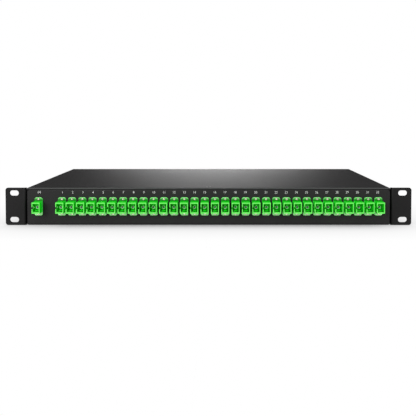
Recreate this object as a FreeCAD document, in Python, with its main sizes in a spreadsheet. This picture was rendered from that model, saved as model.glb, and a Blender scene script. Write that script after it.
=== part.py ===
import FreeCAD, Part
import math
import os
import Sketcher

# Rack-mount fibre splitter chassis, 1U high, with 33 single-fibre sockets in its front wall.
# Frame: +X to the right seen from the front, +Y to the back, +Z up, all in millimetres.
# The origin is at the centre of the bottom of the whole part.

DRIVING = [
    ("body_width", 433.0, "width of the case between the rack ears"),
    ("body_height", 44.4, "height of the case, one rack unit less its clearance"),
    ("body_depth", 250.0, "depth of the case behind the panel face"),
    ("tray_sheet", 1.2, "sheet thickness of the tray"),
    ("cover_sheet", 1.5, "sheet thickness of the cover"),
    ("tray_bend", 2.2, "outer bend radius of the tray"),
    ("cover_bend", 2.0, "outer bend radius of the cover"),
    ("top_return", 16.0, "depth of the tray's fold under the cover's front edge"),
    ("seat_length", 42.0, "length of the full-width front part of the tray sides"),
    ("sheet_gap", 0.1, "gap between the tray walls and the cover's flanges"),
    ("cover_drop", 14.0, "height of the cover's side and rear flanges"),
    ("ear_reach", 24.8, "reach of a rack ear beyond the case, 482.6 over both ears"),
    ("ear_height", 44.4, "height of the rack ears"),
    ("ear_sheet", 2.0, "sheet thickness of the rack ears"),
    ("ear_bend", 3.0, "outer bend radius of the rack ears"),
    ("ear_corner", 3.0, "corner radius of the rack ears"),
    ("ear_leg", 38.0, "length of the ear's leg along the case"),
    ("ear_leg_drop", 5.0, "height that the ear's leg stays below and above its flange's ends"),
    ("slot_inset", 10.4, "distance of the slot centres from the ear's outer edge"),
    ("slot_rows", 31.75, "vertical distance between the slots of one ear"),
    ("slot_width", 10.7, "length of a rack slot"),
    ("slot_height", 6.4, "height of a rack slot"),
    ("cover_screw_radius", 1.5, "shank radius of the cover screws"),
    ("cover_head_radius", 2.8, "head radius of the cover screws"),
    ("cover_screw_reach", 5.5, "whole length of the cover screws"),
    ("cover_screw_set", 11.0, "distance of the front cover screw behind the panel face"),
    ("screw_gap", 0.1, "radial gap round a screw shank"),
    ("port_margin", 14.8, "distance of the first and last socket from the sides of the case"),
    ("output_count", 32, "number of output sockets"),
    ("input_gap", 27.7, "distance from the input socket to output 1"),
    ("port_reach", 13.0, "distance of the socket mouths from the flange face"),
    ("housing_width", 9.3, "width of an adapter housing"),
    ("housing_height", 13.0, "height of an adapter housing"),
    ("housing_length", 27.4, "length of an adapter housing"),
    ("flange_width", 9.5, "width of an adapter flange"),
    ("flange_height", 22.0, "height of an adapter flange"),
    ("flange_thickness", 1.6, "thickness of an adapter flange"),
    ("flange_chamfer", 2.4, "corner chamfer of an adapter flange"),
    ("cutout_gap", 0.1, "gap between an adapter housing and its panel cut-out"),
    ("socket_width", 7.4, "width of a socket"),
    ("socket_height", 9.0, "height of a socket"),
    ("keyway_height", 2.2, "height of the key slot in a socket's left wall"),
    ("keyway_length", 8.5, "length of the key slot"),
    ("holder_gap", 0.05, "gap between the latch holder and the housing"),
    ("holder_plate", 2.0, "thickness of the latch holder's plate"),
    ("latch_setback", 4.7, "distance of the latch tips behind the socket mouth"),
    ("latch_root", 3.4, "height of a latch arm's inner face at the plate"),
    ("latch_tip", 2.7, "height of a latch arm's inner face at its tip"),
    ("latch_outer_width", 5.6, "width of a latch arm at its outer face"),
    ("latch_inner_width", 2.9, "width of a latch arm at its inner edge"),
    ("tube_radius", 2.25, "outer radius of the holder's centre tube"),
    ("tube_length", 12.4, "length of the holder's centre tube"),
    ("sleeve_radius", 1.6, "outer radius of an alignment sleeve"),
    ("sleeve_bore", 1.25, "bore radius of an alignment sleeve"),
    ("sleeve_length", 11.4, "length of an alignment sleeve"),
    ("sleeve_gap", 0.05, "radial gap between sleeve and tube, and sleeve and ferrule"),
    ("plug_gap", 0.1, "gap between a plug's shell and its socket"),
    ("plug_length", 22.0, "length of a plug's shell"),
    ("boot_length", 14.0, "length of a plug's boot"),
    ("boot_radius", 1.8, "half width of a plug's boot"),
    ("fibre_radius", 0.45, "radius of a buffered fibre"),
    ("loom_radius", 2.9, "radius of the output fibre loom"),
    ("loom_set", 74.0, "distance of the loom behind the panel face"),
    ("loom_bend", 35.0, "bend radius of the loom and of the input pigtail"),
    ("turn_gap", 1.2, "gap between the loom's turn and the tray's side wall"),
    ("module_length", 120.0, "length of the splitter module"),
    ("module_width", 80.0, "width of the splitter module"),
    ("module_height", 18.0, "height of the splitter module with its lid"),
    ("module_wall", 2.0, "wall thickness of the module case and lid"),
    ("module_pad", 1.0, "thickness of the pad under the module"),
    ("pad_inset", 8.0, "distance of the pad's edges inside the module's"),
    ("entry_gap", 0.2, "gap round the loom in the module wall"),
    ("chip_length", 28.0, "length of the splitter chip"),
    ("chip_width", 6.0, "width of the splitter chip and the fibre arrays"),
    ("chip_height", 2.4, "height of the splitter chip and the fibre arrays"),
    ("array_length", 9.0, "length of a fibre array"),
    ("carrier_wall", 1.0, "side wall of the chip carrier"),
    ("carrier_rise", 6.0, "height of the chip carrier's side walls"),
    ("ribbon_height", 0.8, "height of the output ribbon"),
    ("ribbon_width", 5.2, "width of the output ribbon"),
    ("tie_width", 2.5, "width of a cable tie"),
    ("tie_thickness", 0.9, "thickness of a cable tie"),
    ("tie_gap", 0.05, "gap between a cable tie and the loom"),
    ("tie_block", 14.0, "side length of a tie mount"),
    ("tie_step", 8, "number of output branches from one cable tie to the next"),
    ("tie_count", 3, "number of cable ties"),
]

# Small round pieces that repeat, and the fibres, have flats, to keep the whole model light.
PORT_FLAT_COUNT = 6
LOOM_FLAT_COUNT = 6
FIBRE_FLAT_COUNT = 4

# A cut that runs right through goes past the material by this share.
BEYOND = 1.1

# Places that several pieces share, worked out from the driving dimensions.
# The panel face is where the adapter flanges sit, and the case goes back from it.
PANEL = "((sizes.port_reach + sizes.flange_thickness - sizes.body_depth) / 2)"
REAR = f"({PANEL} + sizes.body_depth)"
HALF_WIDTH = "(sizes.body_width / 2)"
INNER_HALF = f"({HALF_WIDTH} - sizes.cover_sheet - sizes.sheet_gap)"
TRAY_REAR = f"({REAR} - sizes.cover_sheet - sizes.sheet_gap)"
TRAY_TOP = "(sizes.body_height - sizes.cover_sheet)"
AXIS_HEIGHT = "(sizes.body_height / 2)"
INPUT_X = f"(sizes.port_margin - {HALF_WIDTH})"
OUTPUT_X = f"({INPUT_X} + sizes.input_gap)"
PORT_PITCH = f"(({HALF_WIDTH} - sizes.port_margin - {OUTPUT_X}) / (sizes.output_count - 1))"

# Places in an adapter's own frame, whose origin is on the panel face at the socket's axis.
MOUTH = "(-sizes.port_reach - sizes.flange_thickness)"
MIDDLE = f"({MOUTH} + sizes.housing_length / 2)"
LATCH_REACH = "(sizes.housing_length / 2 - sizes.latch_setback)"
PLUG_FACE = f"({MIDDLE} + sizes.tube_length / 2 + sizes.plug_gap)"
PLUG_END = f"({PLUG_FACE} + sizes.plug_length)"
BOOT_END = f"({PLUG_END} + sizes.boot_length)"

# Places of the fibre path inside the case.
LOOM_HALF = f"(sizes.loom_radius / cos({180 / LOOM_FLAT_COUNT:g} deg) + sizes.entry_gap)"
MODULE_FLOOR = "(sizes.tray_sheet + sizes.module_pad + sizes.module_wall)"
FIBRE_LEVEL = f"({MODULE_FLOOR} + {LOOM_HALF})"
LOOM_Y = f"({PANEL} + sizes.loom_set)"
TURN_X = f"({INNER_HALF} - sizes.tray_sheet - sizes.turn_gap - {LOOM_HALF} - sizes.loom_bend)"
TURN_Y = f"({LOOM_Y} + sizes.loom_bend)"
MODULE_Y = f"({TURN_Y} + sizes.loom_bend)"


doc = FreeCAD.newDocument("fibre_splitter")
sheet = doc.addObject("Spreadsheet::Sheet", "sizes")
nodes = []


def fill_sheet():
    """Write each driving dimension, its name and what it is into the sheet."""
    for row, (alias, value, meaning) in enumerate(DRIVING, start=1):
        sheet.set(f"A{row}", meaning)
        sheet.set(f"B{row}", str(value))
        sheet.setAlias(f"B{row}", alias)
    doc.recompute()


def size(expression):
    """The present value of an expression on the sheet."""
    return float(sheet.evalExpression(expression))


def new_body(name, is_node=True):
    body = doc.addObject("PartDesign::Body", name)
    body.Label = name
    if is_node:
        nodes.append(body)
    return body


def place(thing, x="0", y="0", z="0"):
    """Bind a piece's place to the sheet."""
    for axis, expression in (("x", x), ("y", y), ("z", z)):
        thing.setExpression(f"Placement.Base.{axis}", expression)


def origin_feature(body, role):
    return next(part for part in body.Origin.OriginFeatures if part.Role == role)


def new_sketch(body, name, plane, offset="0"):
    """A sketch on one of the body's own planes, moved along the plane's normal."""
    sketch = body.newObject("Sketcher::SketchObject", name)
    sketch.AttachmentSupport = [(origin_feature(body, plane), "")]
    sketch.MapMode = "FlatFace"
    sketch.setExpression("AttachmentOffset.Base.z", offset)
    return sketch


def pin_point(sketch, geometry, point, x, y, label):
    """Hold a sketch point at two expressions, measured from the sketch's origin."""
    for kind, expression, axis in (("DistanceX", x, -2), ("DistanceY", y, -1)):
        if expression is None:
            continue
        value = size(expression)
        if abs(value) < 1e-9:
            sketch.addConstraint(Sketcher.Constraint("PointOnObject", geometry, point, axis))
            continue
        if value > 0:
            index = sketch.addConstraint(Sketcher.Constraint(kind, -1, 1, geometry, point, value))
        else:
            index = sketch.addConstraint(Sketcher.Constraint(kind, geometry, point, -1, 1, -value))
            expression = f"-({expression})"
        sketch.renameConstraint(index, f"{label}_{kind[-1]}")
        sketch.setExpression(f"Constraints.{label}_{kind[-1]}", expression)


def add_polygon(sketch, points, label="p", arcs=None):
    """A closed outline whose corners are held by expressions.

    A side listed in arcs is round, about the centre given there, and turns by less than half a turn.
    """
    arcs = arcs or {}
    places = [FreeCAD.Vector(size(x), size(y), 0) for x, y in points]
    first = sketch.GeometryCount
    count = len(points)
    ends = []
    for index in range(count):
        start = places[index]
        end = places[(index + 1) % count]
        if index not in arcs:
            sketch.addGeometry(Part.LineSegment(start, end), False)
            ends.append((1, 2))
            continue
        centre = FreeCAD.Vector(size(arcs[index][0]), size(arcs[index][1]), 0)
        turns_left = (start - centre).cross(end - centre).z > 0
        low, high = (start, end) if turns_left else (end, start)
        angles = [math.atan2(point.y - centre.y, point.x - centre.x) for point in (low, high)]
        circle = Part.Circle(centre, FreeCAD.Vector(0, 0, 1), (start - centre).Length)
        sketch.addGeometry(Part.ArcOfCircle(circle, angles[0], angles[1]), False)
        ends.append((1, 2) if turns_left else (2, 1))
    for index in range(count):
        after = (index + 1) % count
        sketch.addConstraint(Sketcher.Constraint("Coincident", first + index, ends[index][1],
                                                 first + after, ends[after][0]))
    for index, (x, y) in enumerate(points):
        pin_point(sketch, first + index, ends[index][0], x, y, f"{label}{index}")
    for index, (x, y) in arcs.items():
        pin_point(sketch, first + index, 3, x, None, f"{label}{index}_centre")


def add_rectangle(sketch, low_x, low_y, high_x, high_y, label="p"):
    corners = [(low_x, low_y), (high_x, low_y), (high_x, high_y), (low_x, high_y)]
    add_polygon(sketch, corners, label)


def add_ring_of_flats(sketch, count, flat_radius, label="p", x="0", y="0"):
    """A regular polygon whose flats touch a circle of the given radius."""
    step = 360 / count
    points = []
    for index in range(count):
        turn = f"{(index + 0.5) * step:.6g} deg"
        corner = f"({flat_radius}) / cos({step / 2:.6g} deg)"
        points.append((f"{x} + {corner} * cos({turn})", f"{y} + {corner} * sin({turn})"))
    add_polygon(sketch, points, label)


def add_circle(sketch, x, y, radius, label="c"):
    centre = FreeCAD.Vector(size(x), size(y), 0)
    circle = Part.Circle(centre, FreeCAD.Vector(0, 0, 1), size(radius))
    index = sketch.addGeometry(circle, False)
    pin_point(sketch, index, 3, x, y, label)
    rule = sketch.addConstraint(Sketcher.Constraint("Radius", index, size(radius)))
    sketch.renameConstraint(rule, f"{label}_radius")
    sketch.setExpression(f"Constraints.{label}_radius", radius)


def add_slot(sketch, x, y, length, height, label="s"):
    """A level slot with round ends: two arcs joined by two lines."""
    reach = f"({length} - {height}) / 2"
    radius = size(height) / 2
    up = FreeCAD.Vector(0, 0, 1)
    left = FreeCAD.Vector(size(f"{x} - {reach}"), size(y), 0)
    right = FreeCAD.Vector(size(f"{x} + {reach}"), size(y), 0)
    rise = FreeCAD.Vector(0, radius, 0)
    quarter = math.pi / 2
    left_arc = sketch.addGeometry(Part.ArcOfCircle(Part.Circle(left, up, radius), quarter, 3 * quarter))
    lower = sketch.addGeometry(Part.LineSegment(left - rise, right - rise))
    right_arc = sketch.addGeometry(Part.ArcOfCircle(Part.Circle(right, up, radius), -quarter, quarter))
    upper = sketch.addGeometry(Part.LineSegment(right + rise, left + rise))
    for first, second in ((left_arc, lower), (lower, right_arc), (right_arc, upper), (upper, left_arc)):
        sketch.addConstraint(Sketcher.Constraint("Tangent", first, 2, second, 1))
    sketch.addConstraint(Sketcher.Constraint("Equal", left_arc, right_arc))
    pin_point(sketch, left_arc, 3, f"{x} - {reach}", y, f"{label}_left")
    pin_point(sketch, right_arc, 3, f"{x} + {reach}", y, f"{label}_right")
    rule = sketch.addConstraint(Sketcher.Constraint("Radius", left_arc, radius))
    sketch.renameConstraint(rule, f"{label}_radius")
    sketch.setExpression(f"Constraints.{label}_radius", f"{height} / 2")


def add_pad(body, name, sketch, length, side="One side", is_reversed=False):
    pad = body.newObject("PartDesign::Pad", name)
    pad.Profile = sketch
    pad.Type = "Length"
    pad.SideType = side
    pad.Reversed = is_reversed
    pad.setExpression("Length", length)
    return pad


def add_pocket(body, name, sketch, length=None, side="One side", is_reversed=False):
    """A cut of the given depth, or right through where no depth is given."""
    pocket = body.newObject("PartDesign::Pocket", name)
    pocket.Profile = sketch
    pocket.SideType = side
    pocket.Reversed = is_reversed
    if length is None:
        pocket.Type = "ThroughAll"
    else:
        pocket.Type = "Length"
        pocket.setExpression("Length", length)
    return pocket


def edges_where(feature, test):
    """Names of the feature's straight edges whose two ends both pass the test."""
    names = []
    for index, edge in enumerate(feature.Shape.Edges, start=1):
        ends = [vertex.Point for vertex in edge.Vertexes]
        if len(ends) == 2 and all(test(end) for end in ends):
            names.append(f"Edge{index}")
    return names


def add_fillet(body, name, base, edges, radius):
    fillet = body.newObject("PartDesign::Fillet", name)
    fillet.Base = (base, edges)
    fillet.setExpression("Radius", radius)
    return fillet


def add_row(body, name, originals):
    """Repeat cuts or pads for every output socket."""
    row = body.newObject("PartDesign::LinearPattern", name)
    row.Originals = originals
    row.Direction = (origin_feature(body, "X_Axis"), [""])
    row.Mode = "Spacing"
    row.setExpression("Offset", PORT_PITCH)
    row.setExpression("Occurrences", "sizes.output_count")
    body.Tip = row
    return row


def near(value, expression):
    return abs(value - size(expression)) < 1e-6


def make_tray():
    """The folded tray: bottom, front wall with the cut-outs, side walls and rear wall."""
    body = new_body("chassis_tray")
    outline = new_sketch(body, "tray_outline", "XY_Plane")
    shoulder = f"({PANEL} + sizes.seat_length)"
    add_polygon(outline, [
        (f"-{HALF_WIDTH}", PANEL),
        (HALF_WIDTH, PANEL),
        (HALF_WIDTH, shoulder),
        (INNER_HALF, f"{shoulder} + sizes.cover_sheet"),
        (INNER_HALF, TRAY_REAR),
        (f"-{INNER_HALF}", TRAY_REAR),
        (f"-{INNER_HALF}", f"{shoulder} + sizes.cover_sheet"),
        (f"-{HALF_WIDTH}", shoulder),
    ])
    block = add_pad(body, "tray_block", outline, TRAY_TOP)
    doc.recompute()

    def is_fold(point):
        return abs(point.z) < 1e-6

    def is_front_corner(point):
        return near(point.y, PANEL) and near(abs(point.x), HALF_WIDTH)

    folds = edges_where(block, is_fold) + edges_where(block, is_front_corner)
    rounded = add_fillet(body, "tray_folds", block, sorted(set(folds)), "sizes.tray_bend")
    wall = "sizes.tray_sheet"
    hollow = new_sketch(body, "tray_hollow_outline", "XY_Plane", TRAY_TOP)
    add_polygon(hollow, [(x_of(f"- {wall}"), y) for x_of, y in (
        (lambda inset: f"-({HALF_WIDTH} {inset})", f"{PANEL} + {wall}"),
        (lambda inset: f"({HALF_WIDTH} {inset})", f"{PANEL} + {wall}"),
        (lambda inset: f"({HALF_WIDTH} {inset})", f"{shoulder} - {wall}"),
        (lambda inset: f"({INNER_HALF} {inset})", f"{shoulder} - {wall} + sizes.cover_sheet"),
        (lambda inset: f"({INNER_HALF} {inset})", f"{TRAY_REAR} - {wall}"),
        (lambda inset: f"-({INNER_HALF} {inset})", f"{TRAY_REAR} - {wall}"),
        (lambda inset: f"-({INNER_HALF} {inset})", f"{shoulder} - {wall} + sizes.cover_sheet"),
        (lambda inset: f"-({HALF_WIDTH} {inset})", f"{shoulder} - {wall}"),
    )])
    cut = add_pocket(body, "tray_hollow", hollow, f"{TRAY_TOP} - {wall}")
    doc.recompute()

    def is_inner_front_fold(point):
        return near(point.y, f"{PANEL} + {wall}")

    def is_inner_rear_fold(point):
        return near(point.y, f"{TRAY_REAR} - {wall}") and near(point.z, wall)

    rim = edges_where(cut, lambda point: point.z > size(AXIS_HEIGHT))
    folds = [name for name in edges_where(cut, is_inner_front_fold) if name not in rim]
    folds += edges_where(cut, is_inner_rear_fold)
    add_fillet(body, "tray_inner_folds", cut, sorted(set(folds)), f"sizes.tray_bend - {wall}")
    doc.recompute()
    add_top_fold(body)

    half_cut_x = "(sizes.housing_width / 2 + sizes.cutout_gap)"
    half_cut_z = "(sizes.housing_height / 2 + sizes.cutout_gap)"
    for name, x in (("input_cutout", INPUT_X), ("output_cutout", OUTPUT_X)):
        cut = new_sketch(body, f"{name}_outline", "XZ_Plane", f"-{PANEL}")
        add_rectangle(cut, f"{x} - {half_cut_x}", f"{AXIS_HEIGHT} - {half_cut_z}",
                      f"{x} + {half_cut_x}", f"{AXIS_HEIGHT} + {half_cut_z}")
        pocket = add_pocket(body, name, cut, "sizes.tray_sheet * 2")
    add_row(body, "output_cutouts", [pocket])
    add_cover_screw_hole(body)
    return body


def add_top_fold(body):
    """Fold the top of the front wall back under the cover, between the corner bends."""
    bend = "sizes.tray_bend"
    low = f"({TRAY_TOP} - {bend})"
    reach = f"({PANEL} + {bend})"
    rim = new_sketch(body, "top_rim_outline", "YZ_Plane")
    add_rectangle(rim, f"{PANEL} - {bend}", low, reach, f"{TRAY_TOP} + {bend}")
    add_pocket(body, "top_rim_cut", rim, f"2 * {HALF_WIDTH}", side="Symmetric")
    fold = new_sketch(body, "top_fold_outline", "YZ_Plane")
    lip = f"({PANEL} + sizes.top_return)"
    under = f"({TRAY_TOP} - sizes.tray_sheet)"
    points = [(PANEL, low), (reach, TRAY_TOP), (lip, TRAY_TOP), (lip, under), (reach, under),
              (f"{PANEL} + sizes.tray_sheet", low)]
    add_polygon(fold, points, arcs={0: (reach, low), 4: (reach, low)})
    add_pad(body, "top_fold", fold, f"2 * ({HALF_WIDTH} - {bend})", side="Symmetric")


def add_cover_screw_hole(body):
    """The threaded hole for the cover's screw, in the fold under the cover's front edge."""
    front = new_sketch(body, "front_screw_centre", "XY_Plane", TRAY_TOP)
    add_circle(front, "0", f"{PANEL} + sizes.cover_screw_set",
               "sizes.cover_screw_radius + sizes.screw_gap")
    add_pocket(body, "front_screw_hole", front, "sizes.tray_sheet * 2")


def make_cover():
    """The folded cover: top plate with flanges down both sides and the rear."""
    body = new_body("top_cover")
    outline = new_sketch(body, "cover_outline", "XY_Plane", "sizes.body_height")
    add_rectangle(outline, f"-{HALF_WIDTH}", PANEL, HALF_WIDTH, REAR)
    block = add_pad(body, "cover_block", outline, "sizes.cover_drop", is_reversed=True)
    doc.recompute()

    def is_top(point):
        return near(point.z, "sizes.body_height")

    front = edges_where(block, lambda point: near(point.y, PANEL))
    folds = [name for name in edges_where(block, is_top) if name not in front]
    add_fillet(body, "cover_folds", block, folds, "sizes.cover_bend")

    inside = new_sketch(body, "cover_inside", "XY_Plane", "sizes.body_height - sizes.cover_drop")
    wall = "sizes.cover_sheet"
    add_rectangle(inside, f"-({HALF_WIDTH} - {wall})", f"{PANEL} - {wall}", f"{HALF_WIDTH} - {wall}",
                  f"{REAR} - {wall}")
    add_pocket(body, "cover_hollow", inside, "sizes.cover_drop - sizes.cover_sheet", is_reversed=True)

    notch = new_sketch(body, "ear_notch", "YZ_Plane")
    add_rectangle(notch, f"{PANEL} - {wall}", f"sizes.body_height - sizes.cover_drop * {BEYOND}",
                  f"{PANEL} + sizes.seat_length + sizes.cover_sheet", TRAY_TOP)
    add_pocket(body, "ear_notches", notch, f"sizes.body_width * {BEYOND}", side="Symmetric")
    add_countersink(body)
    return body


def add_countersink(body):
    """The countersunk hole at the front centre of the cover."""
    across = "sizes.cover_screw_radius + sizes.screw_gap"
    centre = new_sketch(body, "front_hole_centre", "XY_Plane", "sizes.body_height")
    add_circle(centre, "0", f"{PANEL} + sizes.cover_screw_set", across)
    doc.recompute()
    hole = body.newObject("PartDesign::Hole", "front_hole")
    hole.Profile = centre
    hole.ThreadType = 0
    hole.DepthType = "Dimension"
    hole.DrillPoint = "Flat"
    hole.HoleCutType = "Countersink"
    hole.HoleCutCustomValues = True
    hole.HoleCutCountersinkAngle = 90
    hole.setExpression("Diameter", f"2 * ({across})")
    hole.setExpression("Depth", "sizes.cover_sheet * 2")
    hole.setExpression("HoleCutDiameter", "2 * (sizes.cover_head_radius + sizes.screw_gap)")


def make_ear(name, side):
    """One rack ear: a bent bracket, with its flange at the front and its leg on the case."""
    body = new_body(name)

    def x(expression):
        return f"({side}) * ({expression})"

    plan = new_sketch(body, f"{name}_plan", "XY_Plane")
    outer = f"({HALF_WIDTH} + sizes.ear_reach)"
    leg = f"({HALF_WIDTH} + sizes.ear_sheet)"
    corners = [
        (x(HALF_WIDTH), PANEL),
        (x(outer), PANEL),
        (x(outer), f"{PANEL} + sizes.ear_sheet"),
        (x(leg), f"{PANEL} + sizes.ear_sheet"),
        (x(leg), f"{PANEL} + sizes.ear_leg"),
        (x(HALF_WIDTH), f"{PANEL} + sizes.ear_leg"),
    ]
    add_polygon(plan, corners)
    bracket = add_pad(body, f"{name}_bracket", plan, "sizes.ear_height")
    doc.recompute()

    def is_outer_bend(point):
        return near(point.y, PANEL) and near(abs(point.x), HALF_WIDTH)

    def is_inner_bend(point):
        return near(point.y, f"{PANEL} + sizes.ear_sheet") and near(abs(point.x), leg)

    bend = add_fillet(body, f"{name}_bend", bracket, edges_where(bracket, is_outer_bend), "sizes.ear_bend")
    doc.recompute()
    inner = add_fillet(body, f"{name}_inner_bend", bend, edges_where(bend, is_inner_bend),
                       "sizes.ear_bend - sizes.ear_sheet")
    doc.recompute()

    def is_low_corner(point):
        return near(abs(point.x), outer) and near(point.z, "0")

    def is_high_corner(point):
        return near(abs(point.x), outer) and near(point.z, "sizes.ear_height")

    corners = edges_where(inner, is_low_corner) + edges_where(inner, is_high_corner)
    add_fillet(body, f"{name}_corners", inner, corners, "sizes.ear_corner")

    slots = new_sketch(body, f"{name}_slots", "XZ_Plane", f"-{PANEL}")
    for label, sign in (("lower", "-"), ("upper", "+")):
        add_slot(slots, x(f"{outer} - sizes.slot_inset"), f"sizes.ear_height / 2 {sign} sizes.slot_rows / 2",
                 "sizes.slot_width", "sizes.slot_height", label)
    add_pocket(body, f"{name}_slot_cuts", slots, "sizes.ear_sheet * 2")

    ends = new_sketch(body, f"{name}_leg_ends", "YZ_Plane")
    front = f"({PANEL} + sizes.ear_bend)"
    back = f"({PANEL} + sizes.ear_leg * {BEYOND})"
    add_rectangle(ends, front, "-sizes.ear_leg_drop", back, "sizes.ear_leg_drop", "low")
    add_rectangle(ends, front, "sizes.ear_height - sizes.ear_leg_drop", back,
                  "sizes.ear_height + sizes.ear_leg_drop", "high")
    add_pocket(body, f"{name}_leg_cuts", ends, "sizes.body_width * 2", side="Symmetric")

    place(body, z="(sizes.body_height - sizes.ear_height) / 2")
    return body


def make_cover_screw():
    """The countersunk screw that holds the cover at the front centre."""
    body = new_body("cover_screw")
    sketch = new_sketch(body, "cover_screw_profile", "XZ_Plane")
    add_polygon(sketch, [
        ("0", "0"),
        ("sizes.cover_head_radius", "0"),
        ("sizes.cover_screw_radius", "sizes.cover_screw_radius - sizes.cover_head_radius"),
        ("sizes.cover_screw_radius", "-sizes.cover_screw_reach"),
        ("0", "-sizes.cover_screw_reach"),
    ])
    turn = body.newObject("PartDesign::Revolution", "cover_screw_turned")
    turn.Profile = sketch
    turn.ReferenceAxis = (sketch, ["V_Axis"])
    turn.Angle = 360
    place(body, y=f"{PANEL} + sizes.cover_screw_set", z="sizes.body_height")


def make_group(name, shapes):
    """A node of separate solids, read from the sheet when it is made."""
    group = doc.addObject("Part::Feature", name)
    group.Label = name
    group.Shape = Part.makeCompound(shapes) if len(shapes) > 1 else shapes[0]
    group.Placement = FreeCAD.Placement()
    nodes.append(group)
    return group


def moved(shape, x, y, z):
    """A copy of a shape, moved."""
    copy = shape.copy()
    copy.translate(FreeCAD.Vector(x, y, z))
    return copy


def make_housing_form():
    """The adapter housing's form: barrel, flange, through socket and a key slot at each end."""
    body = new_body("housing_form", is_node=False)
    half_x = "sizes.housing_width / 2"
    half_z = "sizes.housing_height / 2"
    barrel = new_sketch(body, "barrel_outline", "XZ_Plane", f"-{MOUTH}")
    add_rectangle(barrel, f"-{half_x}", f"-{half_z}", half_x, half_z)
    add_pad(body, "barrel", barrel, "sizes.housing_length", is_reversed=True)
    flange = new_sketch(body, "flange_outline", "XZ_Plane")
    out_x = "sizes.flange_width / 2"
    in_x = "(sizes.flange_width / 2 - sizes.flange_chamfer)"
    out_z = "sizes.flange_height / 2"
    in_z = "(sizes.flange_height / 2 - sizes.flange_chamfer)"
    add_polygon(flange, [
        (f"-{in_x}", f"-{out_z}"), (in_x, f"-{out_z}"), (out_x, f"-{in_z}"), (out_x, in_z),
        (in_x, out_z), (f"-{in_x}", out_z), (f"-{out_x}", in_z), (f"-{out_x}", f"-{in_z}"),
    ])
    add_pad(body, "flange", flange, "sizes.flange_thickness")
    socket = new_sketch(body, "socket_outline", "XZ_Plane", f"-{MOUTH}")
    add_rectangle(socket, "-sizes.socket_width / 2", "-sizes.socket_height / 2",
                  "sizes.socket_width / 2", "sizes.socket_height / 2")
    add_pocket(body, "socket", socket)
    keyway = new_sketch(body, "keyway_outline", "XZ_Plane", f"-{MOUTH}")
    add_rectangle(keyway, "-sizes.housing_width", "-sizes.keyway_height / 2", "0",
                  "sizes.keyway_height / 2")
    add_pocket(body, "keyway", keyway, "sizes.keyway_length")
    doc.recompute()
    return body


def make_adapters():
    """One housing for the input and one for each output, all of the same form."""
    form = make_housing_form()
    names = ["adapter_in"]
    names += [f"adapter_{number:02d}" for number in range(1, int(size("sizes.output_count")) + 1)]
    for index, name in enumerate(names):
        body = new_body(name)
        copy = doc.addObject("PartDesign::FeatureBase", f"{name}_form")
        copy.BaseFeature = form
        body.Group = [copy]
        body.Tip = copy
        x = INPUT_X if index == 0 else f"{OUTPUT_X} + {index - 1} * {PORT_PITCH}"
        place(body, x, PANEL, AXIS_HEIGHT)


def make_holder_form():
    """The latch holder: plate, two latch arms that thin towards the plate, and centre tube."""
    body = new_body("holder_form", is_node=False)
    plate = new_sketch(body, "holder_plate_outline", "XZ_Plane", f"-{MIDDLE}")
    half_x = "(sizes.socket_width / 2 - sizes.holder_gap)"
    half_z = "(sizes.socket_height / 2 - sizes.holder_gap)"
    add_rectangle(plate, f"-{half_x}", f"-{half_z}", half_x, half_z)
    add_pad(body, "holder_plate_pad", plate, "sizes.holder_plate", side="Symmetric")
    arms = new_sketch(body, "latch_outline", "XZ_Plane", f"-{MIDDLE}")
    wide = "sizes.latch_outer_width / 2"
    narrow = "sizes.latch_inner_width / 2"
    for label, sign in (("lower", "-"), ("upper", "")):
        outer_z = f"{sign}{half_z}"
        inner_z = f"{sign}sizes.latch_tip"
        add_polygon(arms, [(f"-{wide}", outer_z), (wide, outer_z), (narrow, inner_z),
                           (f"-{narrow}", inner_z)], label)
    add_pad(body, "latch_arms", arms, LATCH_REACH)
    thin = new_sketch(body, "latch_thinning", "YZ_Plane")
    root_y = f"({MIDDLE} - sizes.holder_plate / 2)"
    tip_y = f"({MIDDLE} - {LATCH_REACH})"
    for label, sign in (("lower", "-"), ("upper", "")):
        add_polygon(thin, [(root_y, "0"), (tip_y, "0"), (tip_y, f"{sign}sizes.latch_tip"),
                           (root_y, f"{sign}sizes.latch_root")], label)
    add_pocket(body, "latch_thinning_cut", thin, "sizes.socket_width * 2", side="Symmetric")
    tube = new_sketch(body, "tube_outline", "XZ_Plane", f"-{MIDDLE}")
    add_ring_of_flats(tube, PORT_FLAT_COUNT, "sizes.tube_radius")
    add_pad(body, "centre_tube", tube, "sizes.tube_length", side="Symmetric")
    bore = new_sketch(body, "tube_bore_outline", "XZ_Plane", f"-{MOUTH}")
    add_ring_of_flats(bore, PORT_FLAT_COUNT, "sizes.sleeve_radius + sizes.sleeve_gap")
    add_pocket(body, "tube_bore", bore)
    return body


def make_sleeve_form():
    """The alignment sleeve: the short tube that the two ferrules meet in."""
    body = new_body("sleeve_form", is_node=False)
    ring = new_sketch(body, "sleeve_outline", "XZ_Plane", f"-{MIDDLE}")
    add_ring_of_flats(ring, PORT_FLAT_COUNT, "sizes.sleeve_radius", "outer")
    add_ring_of_flats(ring, PORT_FLAT_COUNT, "sizes.sleeve_bore", "inner")
    add_pad(body, "sleeve_ring", ring, "sizes.sleeve_length", side="Symmetric")
    return body


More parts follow.
